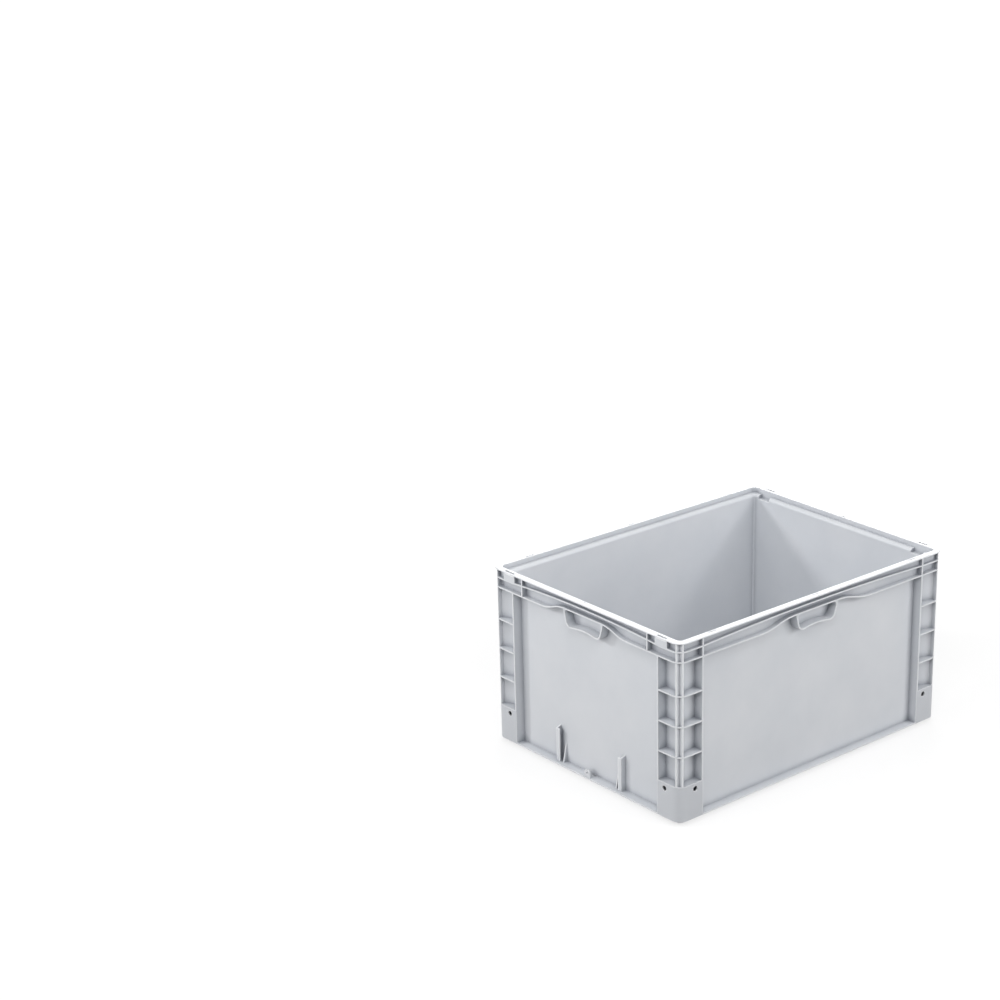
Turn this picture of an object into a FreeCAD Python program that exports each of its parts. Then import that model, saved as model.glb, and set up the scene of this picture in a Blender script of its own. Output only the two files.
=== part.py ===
import FreeCAD, Part
import math
import os

import Sketcher

from FreeCAD import Placement, Rotation, Vector

# Euro stacking container, 800 x 600 module, moulded in one piece.
# Millimetres. X runs along the long side, Y along the short side, Z up.
# The origin is the middle of the underside, on the surface that the container stands on.

# Driving dimensions
SIZES = {
    # Overall
    "outer_length": 800,
    "outer_width": 600,
    "outer_height": 413,
    "outer_corner_radius": 25,
    # Everything under the rim stands back from the outer planes by this much
    "body_inset": 2.5,
    # Walls and inside
    "wall": 3,
    "panel_inset": 25,
    "interior_corner_radius": 4,
    "floor_thickness": 3.5,
    "floor_fillet": 3,
    # Rim and the stepped seat inside it
    "rim_width": 14.5,
    "rim_thickness": 3,
    "rim_edge_radius": 1.5,
    "rim_wall": 3.5,
    "seat_depth": 11.5,
    "seat_fillet": 8,
    # Flanges and channels round the outside, drops are from the rim's top
    "flange_thickness": 3,
    "upper_flange_drop": 20,
    "upper_flange_rise": 8.5,
    "lower_flange_drop": 42.5,
    "lower_flange_rise": 16,
    "band_inset": 15,
    "long_ramp_start": 168,
    "long_ramp_run": 104,
    "short_ramp_start": 138,
    "short_ramp_run": 80,
    # Corner columns
    "column_width": 70,
    "column_rib": 3.5,
    "corner_rib": 2.5,
    "corner_rib_inset": 15,
    "corner_post_front": 15,
    "corner_post_reach": 44,
    "shelf_pitch": 68.5,
    "shelf_count": 3,
    "base_block_height": 81,
    "drain_hole_diameter": 12,
    "drain_hole_from_corner": 48,
    "drain_hole_height": 68,
    # Short sides: dividers in the channels and the lugs near the corners
    "divider_from_corner": 100,
    "divider_thickness": 3,
    "lug_from_corner": 58,
    "lug_width": 36,
    "lug_slot_inset": 3.5,
    "lug_slot_width": 5,
    "lug_slot_length": 30,
    "lug_slot_depth": 6,
    "latch_recess_depth": 9,
    # Shallow marks in the top of the rim, three on each long side and one on each short side
    "notch_spacing": 300,
    "notch_length": 22,
    "short_notch_length": 9,
    "notch_inset": 7.5,
    "notch_width": 4,
    "notch_depth": 1.5,
    # Grips under the lower flange
    "grip_half_top": 62,
    "grip_half_bottom": 51,
    "grip_depth_below_rim": 69.5,
    "grip_arch": 7,
    "grip_wall": 3,
    "grip_corner_radius": 15,
    "grip_top_radius": 9,
    # Label holder low on the short sides
    "clip_half_gap": 95.5,
    "clip_width": 10.5,
    "clip_plate": 2.5,
    "clip_inset": 12.5,
    "clip_height": 80,
    "clip_top_rise": 5,
    "clip_rib_half_gap": 85,
    "clip_rib_height": 60,
    "clip_rib_projection": 11,
    # Eye with a slot behind it, on the base flange of the short sides
    "eye_offset": 5,
    "eye_inset": 4,
    "eye_thickness": 3,
    "eye_height": 13,
    "eye_radius": 8.5,
    "eye_hole_radius": 3.2,
    "eye_slot_length": 38,
    "eye_slot_width": 4,
    "eye_slot_inset": 20.5,
    # Foot that drops into the rim of the container underneath
    "foot_drop": 9,
    "foot_wall": 3,
    "foot_clearance": 2.5,
    "base_flange": 3,
}

# Often used places, as expressions over the sheet
HALF_X = "(sizes.outer_length / 2)"
HALF_Y = "(sizes.outer_width / 2)"
TOP = "sizes.outer_height"
BODY_X = f"({HALF_X} - sizes.body_inset)"
BODY_Y = f"({HALF_Y} - sizes.body_inset)"
PANEL_X = f"({HALF_X} - sizes.panel_inset)"
PANEL_Y = f"({HALF_Y} - sizes.panel_inset)"
INNER_INSET = "(sizes.panel_inset + sizes.wall)"
SEAT = f"({TOP} - sizes.seat_depth)"
UPPER_FLANGE = f"({TOP} - sizes.upper_flange_drop)"
LOWER_FLANGE = f"({TOP} - sizes.lower_flange_drop)"
LOWER_FLANGE_MIDDLE = f"({LOWER_FLANGE} + sizes.lower_flange_rise)"
BLOCK_TOP = "(sizes.foot_drop + sizes.base_block_height)"
FLANGE_REACH = "(sizes.panel_inset - sizes.body_inset + sizes.wall / 2)"

# Sketch planes: the long side's sketch x is X, the short side's sketch x is Y, sketch y is always Z
LONG_SIDE = Rotation(Vector(1, 0, 0), 90)
SHORT_SIDE = Rotation(Vector(1, 1, 1), 120)
FLAT = Rotation()

# Lengths closer than this are the same
TINY = 1e-6

doc = FreeCAD.newDocument("euro_container")
sheet = doc.addObject("Spreadsheet::Sheet", "sizes")


def fill_sheet():
    for row, (name, value) in enumerate(SIZES.items(), start=1):
        sheet.set(f"A{row}", name.replace("_", " "))
        sheet.set(f"B{row}", str(value))
        sheet.setAlias(f"B{row}", name)
    doc.recompute()


def number(expression):
    """Present value of an expression over the sheet."""
    return float(sheet.evalExpression(str(expression).replace("sizes.", "")))


def bind(thing, **expressions):
    for path, expression in expressions.items():
        thing.setExpression(path.replace("__", "."), str(expression))


def place(thing, x="0", y="0", z="0", turn=FLAT):
    thing.Placement = Placement(Vector(number(x), number(y), number(z)), turn)
    bind(thing, Placement__Base__x=x, Placement__Base__y=y, Placement__Base__z=z)


def box(name, x, y, z, length, width, height):
    """Block whose lowest corner is at x, y, z."""
    block = doc.addObject("Part::Box", name)
    bind(block, Length=length, Width=width, Height=height)
    place(block, x, y, z)
    return block


def fuse(name, shapes, refine=False):
    joined = doc.addObject("Part::MultiFuse", name)
    joined.Shapes = shapes
    joined.Refine = refine
    return joined


def cut(name, base, tool):
    left = doc.addObject("Part::Cut", name)
    left.Base = base
    left.Tool = tool
    return left


def mirrored(shape, normal):
    twin = doc.addObject("Part::Mirroring", f"{shape.Name}_mirror_{'x' if normal.x else 'y'}")
    twin.Source = shape
    twin.Normal = normal
    return twin


def on_both_sides(shape, normal):
    return fuse(f"{shape.Name}_both", [shape, mirrored(shape, normal)])


def extrude(name, sketch, length, backwards=False):
    solid = doc.addObject("Part::Extrusion", name)
    solid.Base = sketch
    solid.DirMode = "Normal"
    solid.Solid = True
    solid.Reversed = backwards
    bind(solid, LengthFwd=length)
    return solid


def arc_between(start, end, radius, bulge):
    """Shorter arc from start to end that bulges to the left (1) or right (-1) of the way there."""
    chord = end - start
    left = Vector(-chord.y, chord.x, 0).normalize()
    rise = radius - math.sqrt(radius ** 2 - (chord.Length / 2) ** 2)
    return Part.Arc(start, (start + end) * 0.5 + left * (rise * bulge), end)


def outline(name, corners, arcs=None):
    """Closed sketch through corners (x, y expressions); arcs maps an edge's number to (radius, bulge)."""
    arcs = arcs or {}
    sketch = doc.addObject("Sketcher::SketchObject", name)
    points = [Vector(number(x), number(y), 0) for x, y in corners]
    ends = []
    for index, start in enumerate(points):
        end = points[(index + 1) % len(points)]
        if index in arcs:
            radius, bulge = arcs[index]
            arc = arc_between(start, end, number(radius), bulge)
            sketch.addGeometry(arc)
            # A sketch keeps its arcs anticlockwise, so one that bulges right starts at the first corner
            ends.append((1, 2) if bulge < 0 else (2, 1))
        else:
            sketch.addGeometry(Part.LineSegment(start, end))
            ends.append((1, 2))
    for index in range(len(points)):
        following = (index + 1) % len(points)
        sketch.addConstraint(
            Sketcher.Constraint("Coincident", index, ends[index][1], following, ends[following][0]))
    for index, (x, y) in enumerate(corners):
        for kind, expression, value in (("DistanceX", x, points[index].x), ("DistanceY", y, points[index].y)):
            rule = sketch.addConstraint(
                Sketcher.Constraint(kind, -1, 1, index, ends[index][0], value))
            sketch.setExpression(f"Constraints[{rule}]", str(expression))
    for index, (radius, bulge) in arcs.items():
        rule = sketch.addConstraint(Sketcher.Constraint("Radius", index, number(radius)))
        sketch.setExpression(f"Constraints[{rule}]", str(radius))
    return sketch


def arch_radius(half_chord, rise):
    return f"(({half_chord}) ^ 2 + ({rise}) ^ 2) / (2 * ({rise}))"


def rounded_plan(name, inset, radius):
    """Plan outline of the container, moved in by inset, with rounded corners."""
    x = f"({HALF_X} - ({inset}))"
    y = f"({HALF_Y} - ({inset}))"
    corners = []
    for side_x, side_y, along_x in ((1, -1, True), (1, 1, False), (-1, 1, True), (-1, -1, False)):
        ends = [(f"{side_x} * ({x} - ({radius}))", f"{side_y} * {y}"),
                (f"{side_x} * {x}", f"{side_y} * ({y} - ({radius}))")]
        corners += ends if along_x else ends[::-1]
    return outline(name, corners, {index: (radius, -1) for index in (0, 2, 4, 6)})


def slab(name, inset, radius, bottom, height):
    """Rounded block of the plan outline, from bottom upwards."""
    plan = rounded_plan(f"{name}_plan", inset, radius)
    place(plan, z=bottom)
    return extrude(name, plan, height)


def radius_at(inset):
    return f"(sizes.outer_corner_radius - ({inset}))"


# Shell: tub, rim, bands and foot as rounded blocks, all hollowed later
def shell():
    tub = slab("tub", "sizes.panel_inset", "sizes.interior_corner_radius + sizes.wall",
               "0", TOP)
    band_ring = slab("band_ring", "sizes.band_inset", radius_at("sizes.band_inset"),
                     LOWER_FLANGE, f"{SEAT} - sizes.wall - {LOWER_FLANGE}")
    band = cut("band", band_ring, fuse("band_gaps", [
        on_both_sides(under_ramps("long_gap", "sizes.long_ramp_start", "sizes.long_ramp_run",
                                  LONG_SIDE, {"y": f"-{PANEL_Y}"}), Vector(0, 1, 0)),
        on_both_sides(under_ramps("short_gap", "sizes.short_ramp_start", "sizes.short_ramp_run",
                                  SHORT_SIDE, {"x": f"-{HALF_X}"}), Vector(1, 0, 0))]))
    rim_wall_inset = "(sizes.rim_width - sizes.rim_wall)"
    rim_wall = slab("rim_wall", rim_wall_inset, radius_at(rim_wall_inset),
                    UPPER_FLANGE, "sizes.upper_flange_drop")
    rim = slab("rim", "0", "sizes.outer_corner_radius",
               f"{TOP} - sizes.rim_thickness", "sizes.rim_thickness")
    base_flange = slab("base_flange", "sizes.body_inset", radius_at("sizes.body_inset"),
                       "sizes.foot_drop", "sizes.base_flange")
    foot_inset = "(sizes.rim_width + sizes.foot_clearance)"
    foot = slab("foot", foot_inset, radius_at("sizes.rim_width"),
                "0", "sizes.foot_drop + sizes.base_flange / 2")
    foot_inner_inset = f"({foot_inset} + sizes.foot_wall)"
    groove = slab("foot_groove", foot_inner_inset, radius_at("sizes.rim_width"),
                  "0", "sizes.foot_drop")
    foot_ring = cut("foot_ring", foot, groove)
    return [tub, band, rim_wall, rim, base_flange, foot_ring]


# Flanges along one side between its columns
def half_rise():
    return "(sizes.lower_flange_rise / 2)"


def ramp_radius(ramp_run):
    return f"(({ramp_run} / 2) ^ 2 + {half_rise()} ^ 2) / (2 * {half_rise()})"


def ramp_corners(ramp_start, ramp_run):
    """Start, middle and end of the S on the +x side, on the flange's top."""
    return [(ramp_start, LOWER_FLANGE),
            (f"({ramp_start} - {ramp_run} / 2)", f"({LOWER_FLANGE} + {half_rise()})"),
            (f"({ramp_start} - {ramp_run})", LOWER_FLANGE_MIDDLE)]


def under_ramps(name, ramp_start, ramp_run, turn, start):
    """Space under the raised stretch of the lower flange, where there is no band."""
    radius = ramp_radius(ramp_run)
    half = ramp_corners(ramp_start, ramp_run)
    corners = half + [(f"-{x}", z) for x, z in reversed(half)]
    arcs = {0: (radius, 1), 1: (radius, -1), 3: (radius, -1), 4: (radius, 1)}
    sketch = outline(f"{name}_profile", corners, arcs)
    place(sketch, **start, turn=turn)
    return extrude(name, sketch, "sizes.panel_inset")


def arched_flange(name, half_length, turn, start):
    top, bottom = UPPER_FLANGE, f"({UPPER_FLANGE} - sizes.flange_thickness)"
    radius = arch_radius(half_length, "sizes.upper_flange_rise")
    sketch = outline(
        f"{name}_profile",
        [(f"-{half_length}", bottom), (half_length, bottom), (half_length, top), (f"-{half_length}", top)],
        {0: (radius, 1), 2: (radius, -1)})
    place(sketch, **start, turn=turn)
    return extrude(name, sketch, FLANGE_REACH)


def ramped_flange(name, half_length, ramp_start, ramp_run, turn, start):
    """Flange that climbs in an S on both sides and runs flat over the grip."""
    radius = ramp_radius(ramp_run)
    half = [(half_length, LOWER_FLANGE)] + ramp_corners(ramp_start, ramp_run)
    top = half + [(f"-{x}", z) for x, z in reversed(half)]
    bottom = [(x, f"({z} - sizes.flange_thickness)") for x, z in reversed(top)]
    # On the way from +x to -x the first bend curves up and the second curves back
    arcs = {1: (radius, 1), 2: (radius, -1), 4: (radius, -1), 5: (radius, 1)}
    arcs.update({9: (radius, -1), 10: (radius, 1), 12: (radius, 1), 13: (radius, -1)})
    sketch = outline(f"{name}_profile", top + bottom, arcs)
    place(sketch, **start, turn=turn)
    return extrude(name, sketch, FLANGE_REACH)


# Grip: a skirt under the lower flange, open to the front, with the panel behind it
def grip_block(name, grow, turn, start):
    half_top = f"(sizes.grip_half_top + {grow})"
    half_bottom = f"(sizes.grip_half_bottom + {grow})"
    bottom = f"({TOP} - sizes.grip_depth_below_rim - {grow})"
    top = f"({LOWER_FLANGE_MIDDLE} - sizes.flange_thickness / 2)"
    sketch = outline(
        f"{name}_profile",
        [(f"-{half_bottom}", bottom), (half_bottom, bottom), (half_top, top), (f"-{half_top}", top)],
        {0: (arch_radius(half_bottom, "sizes.grip_arch"), 1)})
    place(sketch, **start, turn=turn)
    return extrude(name, sketch, FLANGE_REACH)


def rounded_grip(name, block, bottom_radius, top_radius=None):
    """Round the two lower corners of a grip block, and the upper ones where they have a radius."""
    doc.recompute()
    low_end = number(f"{TOP} - sizes.grip_depth_below_rim + sizes.grip_wall")
    edges = []
    for index, edge in enumerate(block.Shape.Edges, start=1):
        straight_out = len(edge.Vertexes) == 2 and edge.BoundBox.ZLength < TINY
        along = max(edge.BoundBox.XLength, edge.BoundBox.YLength)
        if not straight_out or abs(along - number(FLANGE_REACH)) > TINY:
            continue
        radius = bottom_radius if edge.BoundBox.ZMax < low_end else top_radius
        if radius:
            edges.append((index, number(radius), number(radius)))
    rounded = doc.addObject("Part::Fillet", name)
    rounded.Base = block
    rounded.Edges = edges
    return rounded


def grip(name, turn, start):
    half_wall = "(sizes.grip_wall / 2)"
    outer = grip_block(f"{name}_outer", half_wall, turn, start)
    inner = grip_block(f"{name}_inner", f"(-{half_wall})", turn, start)
    outer_round = rounded_grip(f"{name}_outer_round", outer, f"sizes.grip_corner_radius + {half_wall}")
    inner_round = rounded_grip(f"{name}_inner_round", inner, f"sizes.grip_corner_radius - {half_wall}",
                               "sizes.grip_top_radius")
    return cut(f"{name}_skirt", outer_round, inner_round)


def long_side():
    start = {"y": f"-{PANEL_Y} + sizes.wall / 2"}
    half = f"({HALF_X} - sizes.column_width + sizes.column_rib / 2)"
    parts = [
        arched_flange("long_upper_flange", half, LONG_SIDE, start),
        ramped_flange("long_lower_flange", half, "sizes.long_ramp_start", "sizes.long_ramp_run",
                      LONG_SIDE, start),
        grip("long_grip", LONG_SIDE, start),
    ]
    return fuse("long_side", parts)


def upright_web(name, y, corners, thickness):
    """Web that stands across the short side, from (inset, height) corners, between y and y plus thickness."""
    profile = outline(f"{name}_profile", [(f"-{HALF_X} + {inset}", height) for inset, height in corners])
    place(profile, y=f"{y} + {thickness}", z="sizes.foot_drop", turn=LONG_SIDE)
    return extrude(name, profile, thickness)


def label_clips():
    """Two upright hooks that hold a card against the panel, with a tapered rib beside each."""
    inside = "(sizes.panel_inset + sizes.wall / 2)"
    plate = box("clip_plate", f"-{HALF_X} + sizes.clip_inset", "sizes.clip_half_gap", "sizes.foot_drop",
                "sizes.clip_plate", "sizes.clip_width", "sizes.clip_height")
    web = upright_web(
        "clip_web", "sizes.clip_half_gap + sizes.clip_width - sizes.clip_plate",
        [("sizes.clip_inset", "0"), (inside, "0"), (inside, "sizes.clip_height + sizes.clip_top_rise"),
         ("sizes.clip_inset", "sizes.clip_height")], "sizes.clip_plate")
    rib = upright_web(
        "clip_rib", "sizes.clip_rib_half_gap",
        [("sizes.panel_inset - sizes.clip_rib_projection", "0"), (inside, "0"),
         (inside, "sizes.clip_rib_height")], "sizes.clip_plate")
    clip = fuse("clip", [plate, web, rib])
    return on_both_sides(clip, Vector(0, 1, 0))


def across_short_side(name, radius, inset, length):
    """Cylinder through the eye, from an inset inwards."""
    pin = doc.addObject("Part::Cylinder", name)
    bind(pin, Radius=radius, Height=length)
    place(pin, f"-{HALF_X} + {inset}", "-sizes.eye_offset", "sizes.foot_drop + sizes.eye_height",
          Rotation(Vector(0, 1, 0), 90))
    return pin


def eye():
    """Round head on a straight stem."""
    head = across_short_side("eye_head", "sizes.eye_radius", "sizes.eye_inset", "sizes.eye_thickness")
    stem = box("eye_stem", f"-{HALF_X} + sizes.eye_inset", "-sizes.eye_offset - sizes.eye_radius",
               "sizes.foot_drop", "sizes.eye_thickness", "sizes.eye_radius * 2", "sizes.eye_height")
    return fuse("eye", [head, stem])


def short_side():
    start = {"x": f"-{BODY_X}"}
    half = f"({HALF_Y} - sizes.column_width + sizes.column_rib / 2)"
    divider = box("divider", f"-{BODY_X}",
                  f"-{HALF_Y} + sizes.divider_from_corner - sizes.divider_thickness / 2",
                  f"{LOWER_FLANGE} - sizes.flange_thickness / 2",
                  FLANGE_REACH, "sizes.divider_thickness",
                  "sizes.lower_flange_drop - sizes.rim_thickness / 2 + sizes.flange_thickness / 2")
    lug = box("lug", f"-{BODY_X}", f"-{HALF_Y} + sizes.lug_from_corner - sizes.lug_width / 2",
              f"{UPPER_FLANGE} - sizes.flange_thickness / 2",
              "sizes.rim_width - sizes.body_inset", "sizes.lug_width",
              "sizes.upper_flange_drop - sizes.rim_thickness / 2 + sizes.flange_thickness / 2")
    parts = [
        arched_flange("short_upper_flange", half, SHORT_SIDE, start),
        ramped_flange("short_lower_flange", half, "sizes.short_ramp_start", "sizes.short_ramp_run",
                      SHORT_SIDE, start),
        grip("short_grip", SHORT_SIDE, start),
        on_both_sides(divider, Vector(0, 1, 0)),
        on_both_sides(lug, Vector(0, 1, 0)),
        label_clips(),
        eye(),
    ]
    return fuse("short_side", parts)


# Corner column: a ladder of shelves between upright ribs on a hollow block
def column_plate(name, top, thickness="sizes.flange_thickness"):
    """Square plate over the whole column, whose outer corner is rounded by the envelope."""
    return box(name, f"-{HALF_X}", f"-{HALF_Y}", f"{top} - {thickness}",
               "sizes.column_width", "sizes.column_width", thickness)


def corner_post():
    """Upright post at the corner: a slanting wall on each side, a square groove and two ribs in front."""
    groove = "(sizes.corner_rib_inset - sizes.corner_rib / 2)"
    side = "(sizes.corner_rib_inset + sizes.corner_rib / 2)"
    inside = "(sizes.panel_inset + sizes.wall / 2)"
    front, reach = "sizes.corner_post_front", "sizes.corner_post_reach"
    insets = [(reach, inside), (side, front), (groove, groove),
              (front, side), (inside, reach), (inside, inside)]
    plan = outline("corner_post_plan", [(f"-{HALF_X} + {x}", f"-{HALF_Y} + {y}") for x, y in insets])
    place(plan, z=BLOCK_TOP)
    height = f"{TOP} - sizes.rim_thickness / 2 - {BLOCK_TOP}"
    parts = [extrude("corner_post", plan, height)]
    for name, x, y in (("corner_rib_long", groove, "0"), ("corner_rib_short", "0", groove)):
        size_x, size_y = ("sizes.corner_rib", side) if y == "0" else (side, "sizes.corner_rib")
        parts.append(box(name, f"-{HALF_X} + {x}", f"-{HALF_Y} + {y}", BLOCK_TOP, size_x, size_y, height))
    return parts


def column():
    rib_x = f"-{HALF_X} + sizes.column_width - sizes.column_rib"
    rib_y = f"-{HALF_Y} + sizes.column_width - sizes.column_rib"
    long_rib = box("column_rib_long", rib_x, f"-{HALF_Y}", "sizes.foot_drop",
                   "sizes.column_rib", "sizes.panel_inset + sizes.wall / 2",
                   f"{TOP} - sizes.rim_thickness / 2 - sizes.foot_drop")
    short_rib = box("column_rib_short", f"-{HALF_X}", rib_y, "sizes.foot_drop",
                    "sizes.panel_inset + sizes.wall / 2", "sizes.column_rib",
                    f"{LOWER_FLANGE} - sizes.flange_thickness / 2 - sizes.foot_drop")
    plates = [
        column_plate("column_upper_flange", UPPER_FLANGE),
        column_plate("column_lower_flange", LOWER_FLANGE),
        column_plate("base_block", BLOCK_TOP, "sizes.base_block_height"),
    ]
    for step in range(1, SIZES["shelf_count"] + 1):
        plates.append(column_plate(f"shelf_{step}", f"({BLOCK_TOP} + {step} * sizes.shelf_pitch)"))
    ladder = fuse("ladder", plates + [long_rib, short_rib] + corner_post())
    envelope = slab("column_envelope", "sizes.body_inset", radius_at("sizes.body_inset"), "0", TOP)
    trimmed = doc.addObject("Part::MultiCommon", "column")
    trimmed.Shapes = [ladder, envelope]
    return trimmed


# What is taken away
def interior():
    inner = slab("inner_space", INNER_INSET, "sizes.interior_corner_radius",
                 "sizes.floor_thickness", TOP)
    seat = slab("seat_space", "sizes.rim_width", radius_at("sizes.rim_width"),
                SEAT, "sizes.seat_depth * 2")
    return [inner, seat]


def block_hollow():
    """Space inside a base block, open downwards, with its two drain holes."""
    outer_wall = "(sizes.body_inset + sizes.wall)"
    size = "(sizes.column_width - sizes.column_rib - sizes.body_inset - sizes.wall)"
    square = box("hollow_square", f"-{HALF_X} + {outer_wall}", f"-{HALF_Y} + {outer_wall}",
                 "sizes.foot_drop", size, size, "sizes.base_block_height - sizes.wall")
    tub_block = slab("hollow_keep", "sizes.panel_inset", "sizes.interior_corner_radius + sizes.wall",
                     "0", TOP)
    hollow = cut("hollow", square, tub_block)
    rounding = slab("hollow_envelope", outer_wall, radius_at(outer_wall), "0", TOP)
    rounded = doc.addObject("Part::MultiCommon", "hollow_rounded")
    rounded.Shapes = [hollow, rounding]
    holes = []
    hole_height = "(sizes.foot_drop + sizes.drain_hole_height)"
    for name, x, y, turn in (
            ("drain_hole_long", f"-{HALF_X} + sizes.drain_hole_from_corner", f"-{HALF_Y}",
             Rotation(Vector(1, 0, 0), -90)),
            ("drain_hole_short", f"-{HALF_X}", f"-{HALF_Y} + sizes.drain_hole_from_corner",
             Rotation(Vector(0, 1, 0), 90))):
        hole = doc.addObject("Part::Cylinder", name)
        bind(hole, Radius="sizes.drain_hole_diameter / 2",
             Height="sizes.body_inset + sizes.wall * 2")
        place(hole, x, y, hole_height, turn)
        holes.append(hole)
    return fuse("block_space", [rounded] + holes)


def rim_marks():
    """Shallow marks in the rim, and a slot with a latch recess above each lug."""
    bottom, height = f"{TOP} - sizes.notch_depth", "sizes.notch_depth * 2"
    long_marks = [
        box(f"long_mark_{index + 2}", f"{index} * sizes.notch_spacing - sizes.notch_length / 2",
            f"-{HALF_Y} + sizes.notch_inset", bottom, "sizes.notch_length", "sizes.notch_width", height)
        for index in (-1, 0, 1)]
    short_mark = box("short_mark", f"-{HALF_X} + sizes.notch_inset", "-sizes.short_notch_length / 2",
                     bottom, "sizes.notch_width", "sizes.short_notch_length", height)
    lug_y = f"-{HALF_Y} + sizes.lug_from_corner"
    slot = box("lug_slot", f"-{HALF_X} + sizes.lug_slot_inset", f"{lug_y} - sizes.lug_slot_length / 2",
               f"{TOP} - sizes.lug_slot_depth",
               "sizes.lug_slot_width", "sizes.lug_slot_length", "sizes.lug_slot_depth * 2")
    recess = box("latch_recess", f"-{HALF_X} + sizes.rim_width", f"{lug_y} - sizes.lug_width / 2",
                 f"{SEAT} - sizes.latch_recess_depth",
                 f"{INNER_INSET} - sizes.rim_width + sizes.wall",
                 "sizes.lug_width", "sizes.latch_recess_depth * 2")
    lug_cuts = on_both_sides(fuse("lug_cuts", [slot, recess]), Vector(0, 1, 0))
    return [on_both_sides(fuse("long_marks", long_marks), Vector(0, 1, 0)),
            on_both_sides(fuse("short_cuts", [lug_cuts, short_mark]), Vector(1, 0, 0))]


def eye_spaces():
    """Hole through the eye and the slot in the base flange behind it."""
    hole = across_short_side("eye_hole", "sizes.eye_hole_radius", "sizes.eye_inset - sizes.eye_thickness",
                             "sizes.eye_thickness * 3")
    slot = box("eye_slot", f"-{HALF_X} + sizes.eye_slot_inset",
               "sizes.eye_offset - sizes.eye_slot_length / 2", "sizes.foot_drop - sizes.base_flange",
               "sizes.eye_slot_width", "sizes.eye_slot_length", "sizes.base_flange * 3")
    return on_both_sides(fuse("eye_cuts", [hole, slot]), Vector(1, 0, 0))


def level_edges(shape, height, reach_x, reach_y):
    """Numbers of the level edges at a height that lie on the plan outline of half sizes reach_x, reach_y."""
    found = []
    for index, edge in enumerate(shape.Edges, start=1):
        bounds = edge.BoundBox
        level = bounds.ZLength < TINY and abs(bounds.ZMax - height) < TINY
        on_x = abs(max(abs(bounds.XMin), abs(bounds.XMax)) - reach_x) < TINY
        on_y = abs(max(abs(bounds.YMin), abs(bounds.YMax)) - reach_y) < TINY
        along_y = on_x and bounds.XLength < TINY
        along_x = on_y and bounds.YLength < TINY
        corner = on_x and on_y
        if level and (corner or along_x or along_y):
            found.append(index)
    return found


def round_edges(name, base, height, inset, radius):
    """Round the level edges along the plan outline at one height."""
    doc.recompute()
    reach_x, reach_y = number(f"{HALF_X} - {inset}"), number(f"{HALF_Y} - {inset}")
    edges = level_edges(base.Shape, number(height), reach_x, reach_y)
    rounded = doc.addObject("Part::Fillet", name)
    rounded.Base = base
    rounded.Edges = [(index, number(radius), number(radius)) for index in edges]
    return rounded


def build():
    fill_sheet()
    quarter_columns = on_both_sides(on_both_sides(column(), Vector(1, 0, 0)), Vector(0, 1, 0))
    solids = shell()
    solids += [on_both_sides(long_side(), Vector(0, 1, 0)),
               on_both_sides(short_side(), Vector(1, 0, 0)),
               quarter_columns]
    filled = fuse("filled", solids)
    spaces = interior() + rim_marks()
    spaces.append(on_both_sides(on_both_sides(block_hollow(), Vector(1, 0, 0)), Vector(0, 1, 0)))
    spaces.append(eye_spaces())
    hollowed = cut("hollowed", filled, fuse("spaces", spaces))
    hollowed.Refine = True
    floor_round = round_edges("floor_round", hollowed, "sizes.floor_thickness", INNER_INSET,
                              "sizes.floor_fillet")
    seat_round = round_edges("seat_round", floor_round, SEAT, INNER_INSET, "sizes.seat_fillet")
    return round_edges("rim_round", seat_round, TOP, "0", "sizes.rim_edge_radius")


def check_document():
    for thing in doc.Objects:
        if "Invalid" in thing.State or "Error" in thing.State:
            raise RuntimeError(f"{thing.Name} is {thing.State}")


def export(node):
    shape = node.Shape
    if shape.isNull() or not shape.isValid() or len(shape.Solids) != 1:
        raise RuntimeError(f"{node.Label}: {len(shape.Solids)} solids, valid {shape.isValid()}")
    os.makedirs("parts", exist_ok=True)
    shape.exportStep(f"parts/{node.Label}.step")
    print(node.Label, "volume", round(shape.Volume), "faces", len(shape.Faces), "box", shape.BoundBox)


container = build()
container.Label = "container"
doc.recompute()
check_document()
export(container)
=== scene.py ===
from math import radians

import bpy
from bpy.props import FloatProperty, FloatVectorProperty, IntProperty, PointerProperty
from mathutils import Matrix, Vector


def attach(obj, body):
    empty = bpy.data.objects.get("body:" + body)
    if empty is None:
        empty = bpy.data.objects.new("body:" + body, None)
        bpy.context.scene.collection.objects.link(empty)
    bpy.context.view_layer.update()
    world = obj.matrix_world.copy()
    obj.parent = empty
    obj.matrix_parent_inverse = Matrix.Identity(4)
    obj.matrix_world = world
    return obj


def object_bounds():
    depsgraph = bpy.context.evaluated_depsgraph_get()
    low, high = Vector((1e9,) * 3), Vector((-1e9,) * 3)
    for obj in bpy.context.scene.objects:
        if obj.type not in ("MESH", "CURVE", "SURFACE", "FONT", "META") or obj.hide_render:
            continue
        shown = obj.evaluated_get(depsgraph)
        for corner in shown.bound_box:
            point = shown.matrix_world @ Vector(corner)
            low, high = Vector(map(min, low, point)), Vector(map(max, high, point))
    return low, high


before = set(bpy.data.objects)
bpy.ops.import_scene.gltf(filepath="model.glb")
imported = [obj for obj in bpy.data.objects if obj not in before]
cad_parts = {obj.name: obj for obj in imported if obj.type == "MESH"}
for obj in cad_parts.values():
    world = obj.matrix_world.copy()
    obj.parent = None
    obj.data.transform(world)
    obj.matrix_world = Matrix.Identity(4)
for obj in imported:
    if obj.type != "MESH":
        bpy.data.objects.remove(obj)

bl_info = {
    "name": "Stacking container",
    "version": (1, 0, 0),
    "blender": (4, 5, 0),
    "location": "View3D > Sidebar > Container",
    "description": "Finish, mould marks and studio for a moulded stacking container",
    "category": "Object",
}

CAD_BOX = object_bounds()
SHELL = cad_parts["container"]

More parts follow.
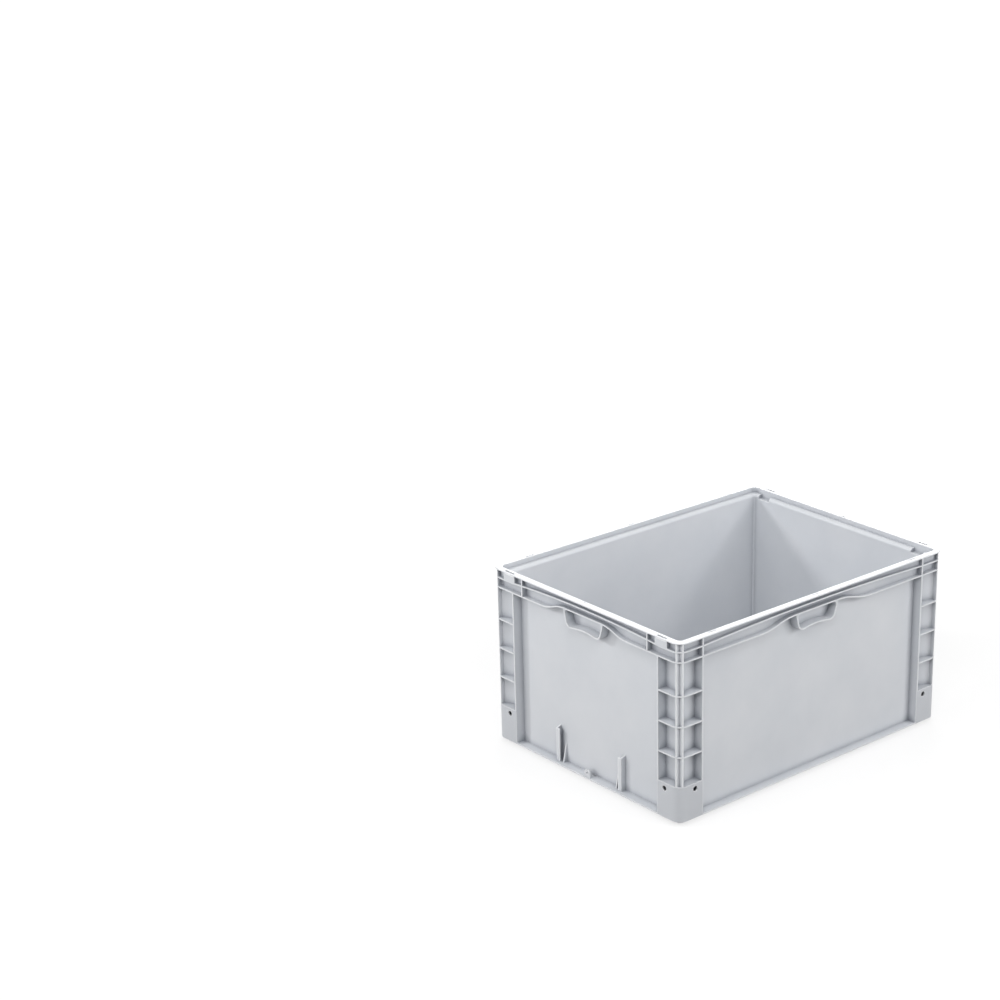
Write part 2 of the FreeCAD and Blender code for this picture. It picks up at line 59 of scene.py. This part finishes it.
# Places on the moulding, in metres
FLOOR_TOP = 0.0035
BLOCK_TOP = 0.090
COLUMN_WIDTH = 0.070
# The top of a base block still counts as block up to here above it
BLOCK_MARGIN = 0.0005
# Painted highlight on the rim's top starts and is full at these depths under the rim's top
RIM_HIGHLIGHT_STARTS, RIM_HIGHLIGHT_FULL = 0.0006, 0.0002
RIM_HIGHLIGHT_AMOUNT = 0.5

# Noise and bump of the plastic: scales are per metre
CLOUD_LEVELS = (0.35, 0.7)
CLOUD_DETAIL, CLOUD_ROUGHNESS = 4.0, 0.55
WANDER_PER_CLOUD, WANDER_DETAIL = 3, 6.0
WAVE_SCALE, WAVE_DETAIL = 9.0, 1.0
GRAIN_DETAIL, GRAIN_ROUGHNESS = 3.0, 0.6
SPECKLE_SCALE, SPECKLE_DETAIL = 420.0, 2.0
SPECKLE_LEVELS, SPECKLE_LOWEST = (0.3, 0.6), 0.82

# Openness at which the painted shade in a crevice and the painted highlight on an edge are full and
# where they end, and the rays that look for them
PAINTED_SHADE_LEVELS, PAINTED_SHADE_RAYS = (0.2, 0.9), 6
PAINTED_HIGHLIGHT_LEVELS, PAINTED_HIGHLIGHT_RAYS = (0.45, 0.85), 4
SOFT_EDGE_RAYS = 3
PLASTIC_IOR, PLASTIC_SPECULAR = 1.49, 0.5

# Corners of a pin mark's ring and of its ridge
RING_STEPS, RIDGE_STEPS = 40, 8

# Ground: a square plane just under the container
GROUND_SIZE, GROUND_GAP = 40, 0.0005
# Share of plain white in what the camera sees of it, near the container and away from it
NEAR, AWAY = 0.7, 1.5
WHITE_NEAR, WHITE_AWAY = 0.68, 1.0
WHITE_STRENGTH = 1.06
# Grey that the ground throws back at the container, and that the camera sees
GROUND_BOUNCE, GROUND_SEEN = 0.4, 0.9

# Where each softbox hangs and its side length, in metres, and the point that all of them face
SOFTBOXES = {
    "overhead": ((0.3, 0.2, 3.2), 2.6),
    "key": ((-2.2, -2.2, 3.0), 1.6),
    "left": ((-3.4, 0.2, 1.6), 2.0),
    "right": ((0.8, -3.4, 1.6), 2.0),
    "left_edge": ((-2.6, 2.2, 1.8), 0.5),
    "right_edge": ((2.0, -3.0, 2.0), 0.5),
    "back": ((3.0, 3.0, 1.2), 2.0),
}
LIT_POINT = (0, 0, 0.2)

# The container stands right of and below the middle of the photograph
CAMERA_SHIFT = (-0.2276, 0.152)
SENSOR_WIDTH = 36
VIEW_DEPTH = 100


class CONTAINER_PG_finish(bpy.types.PropertyGroup):
    """Moulded polypropylene"""

    colour: FloatVectorProperty(
        name="Colour", description="Base colour of the plastic", subtype="COLOR",
        size=4, min=0, max=1, default=(0.62, 0.64, 0.672, 1))
    cloud_colour: FloatVectorProperty(
        name="Cloud colour", description="Colour of the paler clouds that flow leaves in the plastic",
        subtype="COLOR", size=4, min=0, max=1, default=(0.665, 0.68, 0.708, 1))
    # Painted shade: a darker colour laid into channels and inner corners where shade falls
    painted_shade_colour: FloatVectorProperty(
        name="Painted shade colour", description="Colour of the painted shade in channels and inner corners",
        subtype="COLOR", size=4, min=0, max=1, default=(0.27, 0.286, 0.322, 1))
    # Painted highlight: a pale colour laid on convex edges and on the rim's top where light catches
    # them
    painted_highlight_colour: FloatVectorProperty(
        name="Highlight colour", description="Colour of the painted highlight on edges and the rim's top",
        subtype="COLOR", size=4, min=0, max=1, default=(0.90, 0.91, 0.925, 1))
    block_colour: FloatVectorProperty(
        name="Block colour", description="Colour of the coarser grain on the base blocks",
        subtype="COLOR", size=4, min=0, max=1, default=(0.55, 0.567, 0.597, 1))
    cloud_size: FloatProperty(
        name="Cloud size", description="Size of the clouds", subtype="DISTANCE", default=0.14)
    # How far the painted shade spreads out from corners
    painted_shade_reach: FloatProperty(
        name="Painted shade reach", description="How far a corner darkens its surroundings",
        subtype="DISTANCE", default=0.021)
    # How far the painted highlight reaches in from edges
    edge_highlight_reach: FloatProperty(
        name="Edge highlight reach", description="How far the painted highlight reaches in from an edge",
        subtype="DISTANCE", default=0.0028)
    roughness: FloatProperty(
        name="Roughness", description="Roughness of the polished faces", min=0, max=1, default=0.42)
    roughness_spread: FloatProperty(
        name="Roughness spread", description="How much the roughness wanders", min=0, max=1,
        default=0.12)
    grain_size: FloatProperty(
        name="Grain size", description="Size of the spark-eroded grain", subtype="DISTANCE",
        default=0.0011)
    grain_depth: FloatProperty(
        name="Grain depth", description="Depth of the grain", subtype="DISTANCE", default=0.00003)
    waviness: FloatProperty(
        name="Waviness", description="Depth of the slow sink waves in the panels",
        subtype="DISTANCE", default=0.0005)
    edge_radius: FloatProperty(
        name="Edge radius", description="Radius that edges and inner corners are softened by",
        subtype="DISTANCE", default=0.0008)


class CONTAINER_PG_marks(bpy.types.PropertyGroup):
    """Marks that the mould's ejector pins leave on the floor"""

    columns: IntProperty(
        name="Columns", description="Pins along the long side", min=2, default=6)
    rows: IntProperty(
        name="Rows", description="Pins along the short side", min=2, default=4)
    spacing: FloatProperty(
        name="Spacing", description="Distance between neighbouring pins", subtype="DISTANCE",
        default=0.12)
    diameter: FloatProperty(
        name="Diameter", description="Diameter of a pin", subtype="DISTANCE", default=0.014)
    ridge: FloatProperty(
        name="Ridge", description="Width and height of the raised ring round a mark",
        subtype="DISTANCE", default=0.0005)


class CONTAINER_PG_studio(bpy.types.PropertyGroup):
    """Camera and light"""

    camera_place: FloatVectorProperty(
        name="Camera place", description="Where the camera stands", subtype="XYZ",
        unit="LENGTH", size=3, default=(-3.3764, -3.5104, 2.2771))
    camera_turn: FloatVectorProperty(
        name="Camera turn", description="Which way the camera looks", subtype="EULER",
        unit="ROTATION", size=3, default=(radians(66.788), radians(-0.522), radians(-43.874)))
    lens: FloatProperty(
        name="Lens", description="Focal length on a 36 mm sensor, in millimetres", default=85.7)
    overhead: FloatProperty(
        name="Overhead", description="Strength of the overhead softbox", subtype="POWER",
        default=40)
    key: FloatProperty(
        name="Key", description="Strength of the high softbox over the near corner",
        subtype="POWER", default=52)
    left: FloatProperty(
        name="Left", description="Strength of the softbox before the short side",
        subtype="POWER", default=46)
    right: FloatProperty(
        name="Right", description="Strength of the softbox before the long side",
        subtype="POWER", default=50)
    left_edge: FloatProperty(
        name="Left edge", description="Strength of the small softbox behind the left corner",
        subtype="POWER", default=38)
    right_edge: FloatProperty(
        name="Right edge", description="Strength of the small softbox behind the right corner",
        subtype="POWER", default=26)
    back: FloatProperty(
        name="Back", description="Strength of the low softbox behind the far corner",
        subtype="POWER", default=85)
    surround: FloatProperty(
        name="Surround", description="Brightness of the room", min=0, default=0.05)


class Tree:
    """Short way to write a node tree."""

    def __init__(self, tree):
        self.tree = tree

    def add(self, kind, links=None, inputs=None, **settings):
        node = self.tree.nodes.new(kind)
        for name, value in settings.items():
            setattr(node, name, value)
        for name, value in (inputs or {}).items():
            node.inputs[name].default_value = value
        for name, source in (links or {}).items():
            self.tree.links.new(source, node.inputs[name])
        return node

    def math(self, operation, *values):
        """Result of a Math node whose inputs are sockets or numbers."""
        node = self.add("ShaderNodeMath", operation=operation)
        for index, value in enumerate(values):
            if isinstance(value, (int, float)):
                node.inputs[index].default_value = value
            else:
                self.tree.links.new(value, node.inputs[index])
        return node.outputs[0]

    def ranged(self, value, levels, results, **settings):
        """Value carried over from between two levels to between two results."""
        node = self.add("ShaderNodeMapRange", {"Value": value},
                        {"From Min": levels[0], "From Max": levels[1],
                         "To Min": results[0], "To Max": results[1]}, **settings)
        return node.outputs["Result"]

    def noise(self, place, scale, **inputs):
        labels = {name.capitalize(): value for name, value in inputs.items()}
        node = self.add("ShaderNodeTexNoise", {"Vector": place}, {"Scale": scale, **labels})
        return node.outputs["Fac"]

    def mixed(self, amount, colour, other):
        """Colour with an amount of a fixed other one mixed in; the first may be fixed too."""
        node = self.add("ShaderNodeMix", {"Factor": amount}, data_type="RGBA")
        if isinstance(colour, bpy.types.NodeSocket):
            self.tree.links.new(colour, node.inputs["A"])
        else:
            node.inputs["A"].default_value = colour
        node.inputs["B"].default_value = other
        return node.outputs["Result"]

    def openness(self, distance, rays, **settings):
        """How little stands in the way within a distance: 1 in the open, less in a crevice."""
        node = self.add("ShaderNodeAmbientOcclusion", inputs={"Distance": distance},
                        samples=rays, only_local=True, **settings)
        return node.outputs["AO"]

    def bump(self, height, depth, normal):
        node = self.add("ShaderNodeBump", {"Height": height, "Normal": normal},
                        {"Distance": depth, "Strength": 1.0})
        return node.outputs["Normal"]

    def seen(self):
        """1 for what the camera sees, straight or in gloss and glass, and 0 for other light."""
        path = self.add("ShaderNodeLightPath").outputs
        straight = self.math("MAXIMUM", path["Is Camera Ray"], path["Is Glossy Ray"])
        return self.math("MAXIMUM", straight, path["Is Transmission Ray"])


def new_material(name):
    material = bpy.data.materials.new(name)
    material.use_nodes = True
    material.node_tree.nodes.clear()
    return material, Tree(material.node_tree)


def painted_rim_highlight(tree, place):
    """Amount of painted highlight on the top of the rim, and 0 elsewhere."""
    height = tree.add("ShaderNodeSeparateXYZ", {"Vector": place}).outputs["Z"]
    top = CAD_BOX[1][2]
    return tree.ranged(height, (top - RIM_HIGHLIGHT_STARTS, top - RIM_HIGHLIGHT_FULL), (0.0, RIM_HIGHLIGHT_AMOUNT))


def on_base_blocks(tree, place):
    """1 on the four base blocks and 0 elsewhere, broken up by a fine noise."""
    axes = tree.add("ShaderNodeSeparateXYZ", {"Vector": place}).outputs
    across = [
        tree.math("GREATER_THAN", tree.math("ABSOLUTE", axes[axis]), half - COLUMN_WIDTH)
        for axis, half in zip("XY", CAD_BOX[1])]
    low = tree.math("LESS_THAN", axes["Z"], BLOCK_TOP + BLOCK_MARGIN)
    speckle = tree.noise(place, SPECKLE_SCALE, detail=SPECKLE_DETAIL)
    amount = tree.ranged(speckle, SPECKLE_LEVELS, (SPECKLE_LOWEST, 1.0))
    in_corner = tree.math("MULTIPLY", *across)
    return tree.math("MULTIPLY", in_corner, tree.math("MULTIPLY", low, amount))


def plastic_colour(tree, place, finish):
    """Flow clouds, coarser base blocks, painted shade in crevices, and painted highlights on edges
    and rim top.
    """
    clouds = tree.noise(place, 1 / finish.cloud_size,
                        detail=CLOUD_DETAIL, roughness=CLOUD_ROUGHNESS)
    plain = tree.mixed(tree.ranged(clouds, CLOUD_LEVELS, (0.0, 1.0)),
                       finish.colour, finish.cloud_colour)
    blocks = tree.mixed(on_base_blocks(tree, place), plain, finish.block_colour)
    # Painted shade: crevices and channels darkened in colour, found by ambient occlusion
    crevice = tree.ranged(tree.openness(finish.painted_shade_reach, PAINTED_SHADE_RAYS), PAINTED_SHADE_LEVELS,
                          (1.0, 0.0), interpolation_type="SMOOTHSTEP")
    crevice_shaded = tree.mixed(crevice, blocks, finish.painted_shade_colour)
    # Painted highlight: convex edges lightened in colour, found by ambient occlusion inside the part
    edge = tree.ranged(tree.openness(finish.edge_highlight_reach, PAINTED_HIGHLIGHT_RAYS, inside=True), PAINTED_HIGHLIGHT_LEVELS,
                       (1.0, 0.0))
    # Painted highlight on edges and on the rim's top
    pale = tree.math("MAXIMUM", edge, painted_rim_highlight(tree, place))
    return tree.mixed(pale, crevice_shaded, finish.painted_highlight_colour)


def moulded_plastic(finish):
    """Light grey polypropylene with a fine grain, slow waves and softened edges."""
    material, tree = new_material("moulded_polypropylene")
    place = tree.add("ShaderNodeTexCoord").outputs["Object"]
    wander = tree.noise(place, WANDER_PER_CLOUD / finish.cloud_size, detail=WANDER_DETAIL)
    half_spread = finish.roughness_spread / 2
    roughness = tree.ranged(wander, (0.0, 1.0),
                            (finish.roughness - half_spread, finish.roughness + half_spread))
    soft_edges = tree.add("ShaderNodeBevel", inputs={"Radius": finish.edge_radius},
                          samples=SOFT_EDGE_RAYS)
    waves = tree.noise(place, WAVE_SCALE, detail=WAVE_DETAIL)
    wavy = tree.bump(waves, finish.waviness, soft_edges.outputs["Normal"])
    grain = tree.noise(place, 1 / finish.grain_size, detail=GRAIN_DETAIL, roughness=GRAIN_ROUGHNESS)
    grainy = tree.bump(grain, finish.grain_depth, wavy)
    surface = tree.add("ShaderNodeBsdfPrincipled",
                       {"Base Color": plastic_colour(tree, place, finish),
                        "Roughness": roughness, "Normal": grainy},
                       {"IOR": PLASTIC_IOR, "Specular IOR Level": PLASTIC_SPECULAR})
    tree.add("ShaderNodeOutputMaterial", {"Surface": surface.outputs["BSDF"]})
    return material


class CONTAINER_OT_shell(bpy.types.Operator):
    """Gives the moulding its plastic"""

    bl_idname = "container.shell"
    bl_label = "Shell"

    def execute(self, context):
        plastic = moulded_plastic(context.scene.container_finish)
        SHELL.data.materials.clear()
        SHELL.data.materials.append(plastic)
        return {"FINISHED"}


def pin_mark_tree(material):
    """Grid of flat rings: columns x rows at a spacing, each a thin ridge round a pin's mark."""
    group = bpy.data.node_groups.new("pin_marks", "GeometryNodeTree")
    group.interface.new_socket("Geometry", in_out="OUTPUT", socket_type="NodeSocketGeometry")
    kinds = {"Columns": "Int", "Rows": "Int", "Spacing": "Float", "Diameter": "Float",
             "Ridge": "Float", "Height": "Float"}
    sockets = {
        name: group.interface.new_socket(
            name, in_out="INPUT", socket_type=f"NodeSocket{kind}").identifier
        for name, kind in kinds.items()}
    tree = Tree(group)
    given = tree.add("NodeGroupInput").outputs

    def span(count):
        return tree.math("MULTIPLY", tree.math("SUBTRACT", count, 1.0), given["Spacing"])

    def half(size):
        return tree.math("MULTIPLY", size, 0.5)

    grid = tree.add("GeometryNodeMeshGrid", {
        "Size X": span(given["Columns"]), "Size Y": span(given["Rows"]),
        "Vertices X": given["Columns"], "Vertices Y": given["Rows"]})
    lift = tree.add("ShaderNodeCombineXYZ", {"Z": given["Height"]})
    placed = tree.add("GeometryNodeTransform", {"Geometry": grid.outputs["Mesh"],
                                                "Translation": lift.outputs["Vector"]})
    circle = tree.add("GeometryNodeCurvePrimitiveCircle", {"Radius": half(given["Diameter"])},
                      {"Resolution": RING_STEPS})
    section = tree.add("GeometryNodeCurvePrimitiveCircle", {"Radius": half(given["Ridge"])},
                       {"Resolution": RIDGE_STEPS})
    ring = tree.add("GeometryNodeCurveToMesh", {"Curve": circle.outputs["Curve"],
                                                "Profile Curve": section.outputs["Curve"]})
    rings = tree.add("GeometryNodeInstanceOnPoints", {"Points": placed.outputs["Geometry"],
                                                      "Instance": ring.outputs["Mesh"]})
    real = tree.add("GeometryNodeRealizeInstances", {"Geometry": rings.outputs["Instances"]})
    dressed = tree.add("GeometryNodeSetMaterial", {"Geometry": real.outputs["Geometry"]})
    dressed.inputs["Material"].default_value = material
    tree.add("NodeGroupOutput", {"Geometry": dressed.outputs["Geometry"]})
    return group, sockets


def made_from_tree(name, group, sockets, values, material):
    """Plain mesh object of a geometry node tree's result."""
    holder = bpy.data.objects.new(name, bpy.data.meshes.new(name))
    bpy.context.scene.collection.objects.link(holder)
    modifier = holder.modifiers.new("tree", "NODES")
    modifier.node_group = group
    for label, value in values.items():
        modifier[sockets[label]] = value
    bpy.context.view_layer.update()
    evaluated = holder.evaluated_get(bpy.context.evaluated_depsgraph_get())
    mesh = bpy.data.meshes.new_from_object(evaluated)
    holder.modifiers.clear()
    holder.data = mesh
    mesh.name = name
    mesh.materials.clear()
    mesh.materials.append(material)
    if not mesh.polygons:
        raise RuntimeError(f"{name} came out empty")
    return holder


class CONTAINER_OT_pin_marks(bpy.types.Operator):
    """Rings that ejector pins leave on the inside of the floor"""

    bl_idname = "container.pin_marks"
    bl_label = "Pin marks"

    def execute(self, context):
        marks = context.scene.container_marks
        material = SHELL.data.materials[0]
        group, sockets = pin_mark_tree(material)
        values = {"Columns": marks.columns, "Rows": marks.rows, "Spacing": marks.spacing,
                  "Diameter": marks.diameter, "Ridge": marks.ridge, "Height": FLOOR_TOP}
        rings = made_from_tree("pin_marks", group, sockets, values, material)
        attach(rings, "root")
        return {"FINISHED"}


def stage_material():
    """White ground for the camera that still takes a soft shadow near the container."""
    material, tree = new_material("studio_ground")
    seen = tree.seen()
    place = tree.add("ShaderNodeTexCoord").outputs["Object"]
    distance = tree.add("ShaderNodeVectorMath", {0: place}, operation="LENGTH").outputs["Value"]
    glow = tree.ranged(distance, (NEAR, AWAY), (WHITE_NEAR, WHITE_AWAY))
    shade = tree.ranged(seen, (0.0, 1.0), (GROUND_BOUNCE, GROUND_SEEN))
    ground = tree.add("ShaderNodeBsdfDiffuse", {"Color": shade})
    white = tree.add("ShaderNodeEmission",
                     inputs={"Color": (1, 1, 1, 1), "Strength": WHITE_STRENGTH})
    mixed = tree.add("ShaderNodeMixShader", {
        "Fac": tree.math("MULTIPLY", seen, glow), 1: ground.outputs["BSDF"],
        2: white.outputs["Emission"]})
    tree.add("ShaderNodeOutputMaterial", {"Surface": mixed.outputs["Shader"]})
    return material


def room(strength):
    """Even grey room that the camera sees as white."""
    world = bpy.data.worlds.new("studio_room")
    world.use_nodes = True
    world.node_tree.nodes.clear()
    tree = Tree(world.node_tree)
    light = tree.add("ShaderNodeBackground",
                     {"Strength": tree.ranged(tree.seen(), (0.0, 1.0), (strength, 1.0))},
                     {"Color": (1, 1, 1, 1)})
    tree.add("ShaderNodeOutputWorld", {"Surface": light.outputs["Background"]})
    return world


def softbox(name, place, side, power):
    lamp = bpy.data.lights.new(name, "AREA")
    lamp.shape = "RECTANGLE"
    lamp.size = lamp.size_y = side
    lamp.energy = power
    box = bpy.data.objects.new(name, lamp)
    box.location = place
    box.rotation_euler = (Vector(LIT_POINT) - Vector(place)).to_track_quat("-Z", "Y").to_euler()
    box.visible_camera = False
    bpy.context.scene.collection.objects.link(box)


def camera(studio):
    data = bpy.data.cameras.new("photo_camera")
    data.sensor_width = SENSOR_WIDTH
    data.lens = studio.lens
    data.shift_x, data.shift_y = CAMERA_SHIFT
    data.clip_end = VIEW_DEPTH
    seat = bpy.data.objects.new("photo_camera", data)
    seat.location = studio.camera_place
    seat.rotation_euler = studio.camera_turn
    bpy.context.scene.collection.objects.link(seat)
    bpy.context.scene.camera = seat


class CONTAINER_OT_stage(bpy.types.Operator):
    """Floor, softboxes, room and camera"""

    bl_idname = "container.stage"
    bl_label = "Stage"

    def execute(self, context):
        studio = context.scene.container_studio
        bpy.ops.mesh.primitive_plane_add(size=GROUND_SIZE, location=(0, 0, -GROUND_GAP))
        ground = context.object
        ground.name = "studio_ground"
        ground.data.materials.append(stage_material())
        for name, (place, side) in SOFTBOXES.items():
            softbox(name, place, side, getattr(studio, name))
        context.scene.world = room(studio.surround)
        context.scene.view_settings.view_transform = "Standard"
        camera(studio)
        return {"FINISHED"}


class CONTAINER_PT_panel(bpy.types.Panel):
    """Sizes, colours and steps of the container"""

    bl_idname = "CONTAINER_PT_panel"
    bl_label = "Stacking container"
    bl_space_type = "VIEW_3D"
    bl_region_type = "UI"
    bl_category = "Container"

    def draw(self, context):
        for settings in (context.scene.container_finish, context.scene.container_marks,
                         context.scene.container_studio):
            box = self.layout.box()
            for name in settings.bl_rna.properties.keys():
                if name not in ("rna_type", "name"):
                    box.prop(settings, name)
        for step in STEPS:
            self.layout.operator(step.bl_idname)


STEPS = (CONTAINER_OT_shell, CONTAINER_OT_pin_marks, CONTAINER_OT_stage)
GROUPS = (CONTAINER_PG_finish, CONTAINER_PG_marks, CONTAINER_PG_studio)
CLASSES = GROUPS + STEPS + (CONTAINER_PT_panel,)


def register():
    for item in CLASSES:
        bpy.utils.register_class(item)
    bpy.types.Scene.container_finish = PointerProperty(type=CONTAINER_PG_finish)
    bpy.types.Scene.container_marks = PointerProperty(type=CONTAINER_PG_marks)
    bpy.types.Scene.container_studio = PointerProperty(type=CONTAINER_PG_studio)


def unregister():
    del bpy.types.Scene.container_finish
    del bpy.types.Scene.container_marks
    del bpy.types.Scene.container_studio
    for item in reversed(CLASSES):
        bpy.utils.unregister_class(item)


def main():
    register()
    bpy.ops.container.shell()
    bpy.ops.container.pin_marks()
    bpy.ops.container.stage()


if __name__ == "__main__":
    main()
